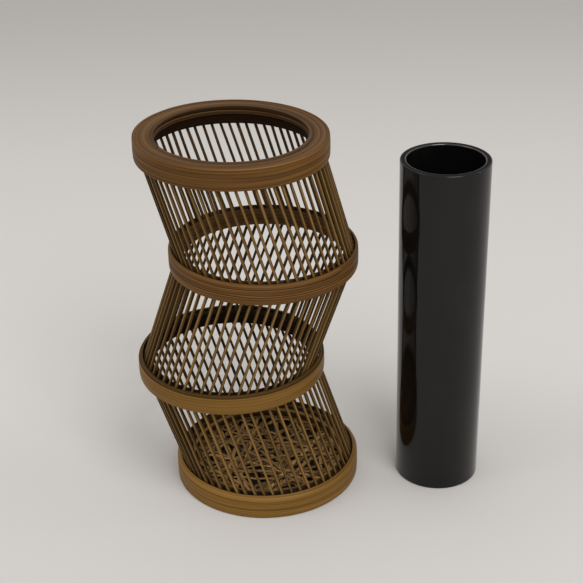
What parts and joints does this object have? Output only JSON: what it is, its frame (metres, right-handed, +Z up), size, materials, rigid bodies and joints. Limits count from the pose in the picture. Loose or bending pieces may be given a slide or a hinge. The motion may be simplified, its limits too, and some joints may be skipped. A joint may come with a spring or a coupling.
{
  "type": "bamboo flower vase",
  "caption": "Openwork bamboo flower basket of bent hoops stepped to either side and joined by leaning rods, with a woven floor and a separate black water tube.",
  "frame": {"origin": "on the ground, at the centre of the box round the basket and the tube that stands beside it", "axes": "+Z up, along the basket's height; +X from the basket towards the tube; -Y towards the side that the picture shows"},
  "size_m": [0.2409, 0.1304, 0.2606],
  "materials": {
    "rim_bamboo": "smoked brown bamboo, satin",
    "band_bamboo": "golden brown bamboo with long grain, satin",
    "dark_bamboo": "dark brown bamboo, dull",
    "rod_bamboo": "olive brown split bamboo, satin",
    "mat_bamboo": "brown split bamboo, dull satin",
    "black_lacquer": "glossy black lacquer"
  },
  "bodies": {
    "basket": {"rim_outer_band": "rim_bamboo", "rim_cap_strip_1": "rim_bamboo", "rim_cap_strip_2": "rim_bamboo", "rim_cap_strip_3": "rim_bamboo", "rim_lip_strip": "band_bamboo", "rim_inner_band": "dark_bamboo", "upper_rods": "rod_bamboo", "upper_hoop_outer_band": "band_bamboo", "upper_hoop_inner_band": "dark_bamboo", "middle_rods": "rod_bamboo", "lower_hoop_outer_band": "band_bamboo", "lower_hoop_inner_band": "dark_bamboo", "lower_rods": "rod_bamboo", "base_outer_band": "band_bamboo", "base_inner_band": "band_bamboo", "floor_edge_hoop": "mat_bamboo", "floor_mat": "mat_bamboo", "floor_support_hoop": "dark_bamboo", "floor_slat_1": "mat_bamboo", "floor_slat_2": "mat_bamboo", "floor_slat_3": "mat_bamboo"},
    "liner": {"liner_tube": "black_lacquer"}
  },
  "joints": [
    {"name": "liner_lift", "type": "slide", "parent": "basket", "child": "liner", "axis": [0, 0, 1], "range_m": [0, 0.266]}
  ]
}
